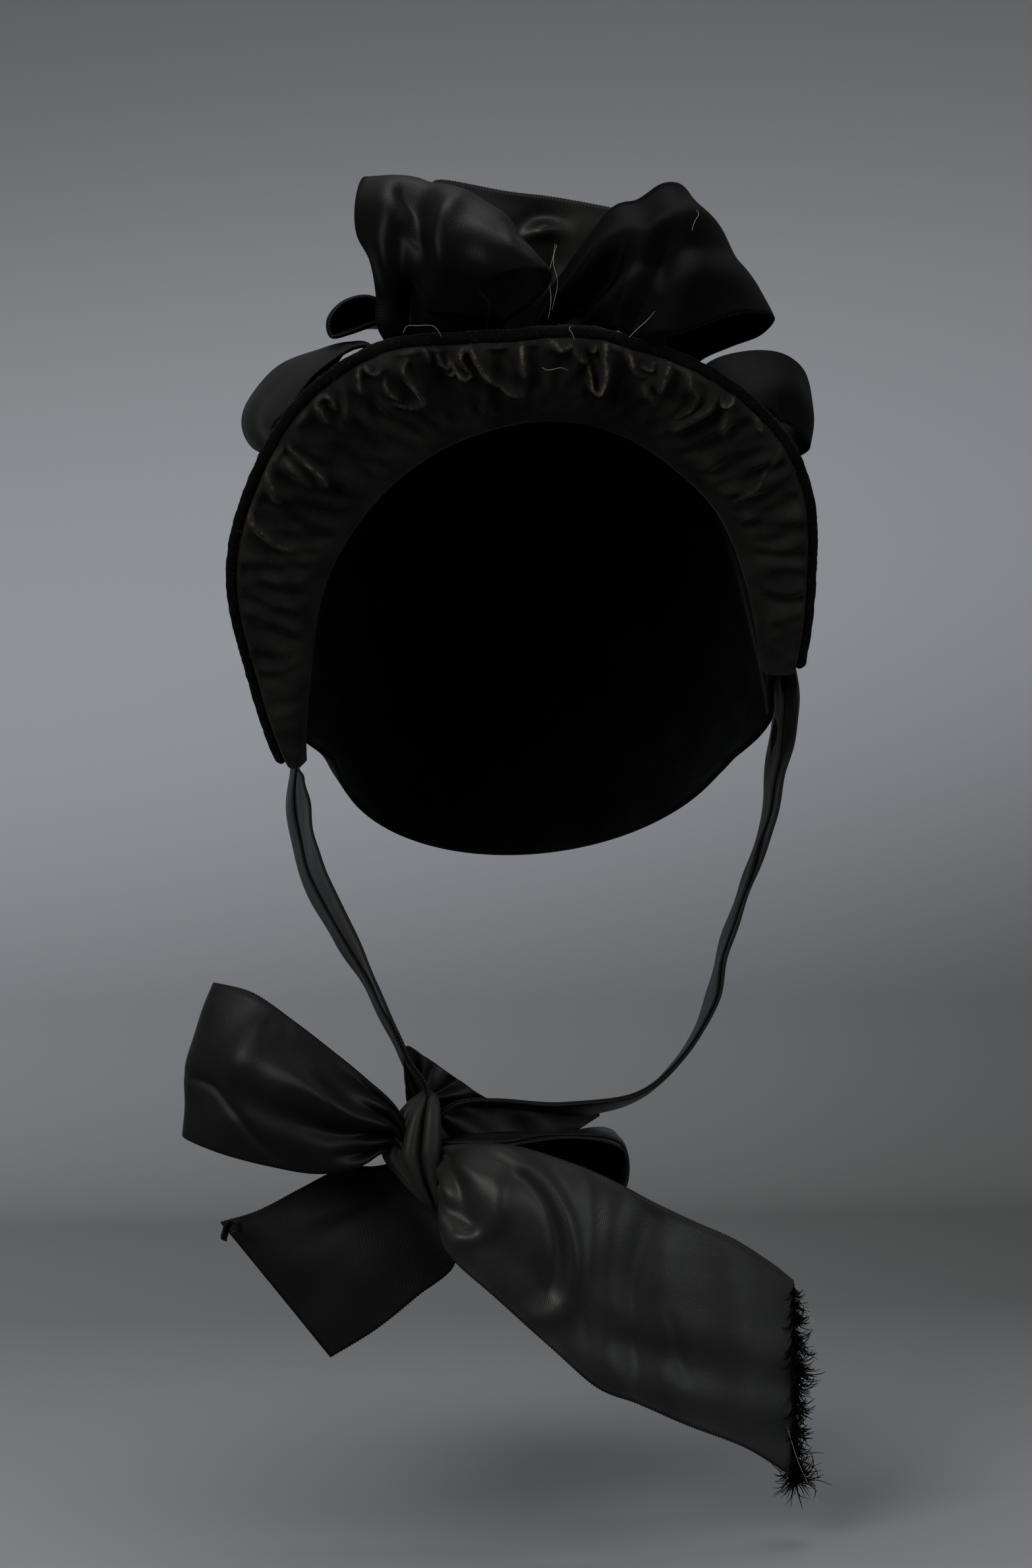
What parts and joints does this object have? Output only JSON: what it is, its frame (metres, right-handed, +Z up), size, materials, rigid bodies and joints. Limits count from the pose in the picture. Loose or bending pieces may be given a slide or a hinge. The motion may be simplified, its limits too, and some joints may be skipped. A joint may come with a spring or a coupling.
{
  "type": "poke bonnet",
  "caption": "Black velvet bonnet with a ruched brim, satin ribbon loops on top and wide satin ties in a bow under the chin",
  "frame": {"origin": "where the top of the head seats inside the crown, above the ear line", "axes": "+X to the viewer's right, +Y towards the nape, +Z up; the face opening looks along -Y"},
  "size_m": [0.1862, 0.2081, 0.3707],
  "materials": {
    "crown": "black velvet",
    "brim": "black velvet",
    "brim_facing": "worn black velvet, ruched",
    "brim_binding": "black velvet",
    "top_loop_left": "charcoal satin",
    "top_loop_right": "charcoal satin",
    "top_loop_back": "dusty charcoal twill",
    "side_loop_left_upper": "charcoal satin",
    "side_loop_left": "charcoal twill",
    "side_loop_right": "charcoal satin",
    "chin_knot": "charcoal satin",
    "tie_left": "charcoal satin",
    "tie_right": "charcoal satin",
    "chin_loop_left": "charcoal satin",
    "chin_loop_right": "charcoal satin",
    "tail_left": "matte charcoal twill",
    "tail_right": "charcoal satin",
    "tail_fringe": "frayed threads"
  },
  "bodies": {
    "root": {"crown": "crown", "brim": "brim", "brim_facing": "brim_facing", "brim_binding": "brim_binding", "top_loop_left": "top_loop_left", "top_loop_right": "top_loop_right", "top_loop_back": "top_loop_back", "side_loop_left_upper": "side_loop_left_upper", "side_loop_left": "side_loop_left", "side_loop_right": "side_loop_right", "chin_knot": "chin_knot", "tie_left": "tie_left", "tie_right": "tie_right", "chin_loop_left": "chin_loop_left", "chin_loop_right": "chin_loop_right", "tail_left": "tail_left", "tail_right": "tail_right", "tail_fringe": "tail_fringe"}
  },
  "joints": []
}
